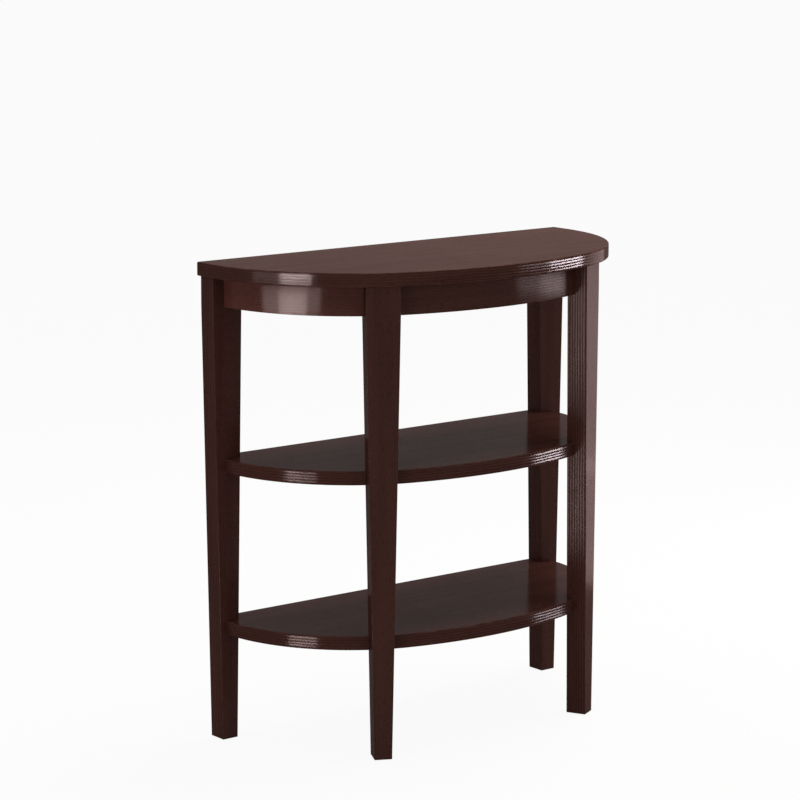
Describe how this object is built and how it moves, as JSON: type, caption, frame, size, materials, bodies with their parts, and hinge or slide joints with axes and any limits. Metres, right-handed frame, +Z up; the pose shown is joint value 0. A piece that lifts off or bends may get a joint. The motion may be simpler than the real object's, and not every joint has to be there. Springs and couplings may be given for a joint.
{
  "type": "half-moon console table",
  "caption": "Half-moon console table with a bowed top, a curved apron, tapered legs set round the curve and shelves notched between them, in dark stained wood.",
  "frame": {"origin": "on the floor, below the middle of the top's width and depth", "axes": "+Z up, +Y towards the wall behind the straight back edge, -Y towards the front of the bow, +X to the right seen from the front"},
  "size_m": [0.732, 0.321, 0.762],
  "materials": {
    "espresso_wood": "satin",
    "raw_wood": "sawn",
    "beech": "plain",
    "zinc_steel": "zinc plated",
    "cast_zinc": "as cast"
  },
  "bodies": {
    "root": {"top_panel": "espresso_wood", "apron_left": "espresso_wood", "apron_front": "espresso_wood", "apron_right": "espresso_wood", "back_rail": "espresso_wood", "back_left_leg": "espresso_wood", "back_right_leg": "espresso_wood", "front_left_leg": "espresso_wood", "front_right_leg": "espresso_wood", "middle_shelf": "espresso_wood", "lower_shelf": "espresso_wood", "back_left_block": "raw_wood", "back_right_block": "raw_wood", "front_left_block": "raw_wood", "front_right_block": "raw_wood", "apron_dowels": "beech", "rail_dowels": "beech", "leg_bolts": "zinc_steel", "leg_washers": "zinc_steel", "leg_nuts": "zinc_steel", "block_screws": "zinc_steel", "top_screws": "zinc_steel", "cam_bolts": "zinc_steel", "cam_discs": "cast_zinc"}
  },
  "joints": []
}
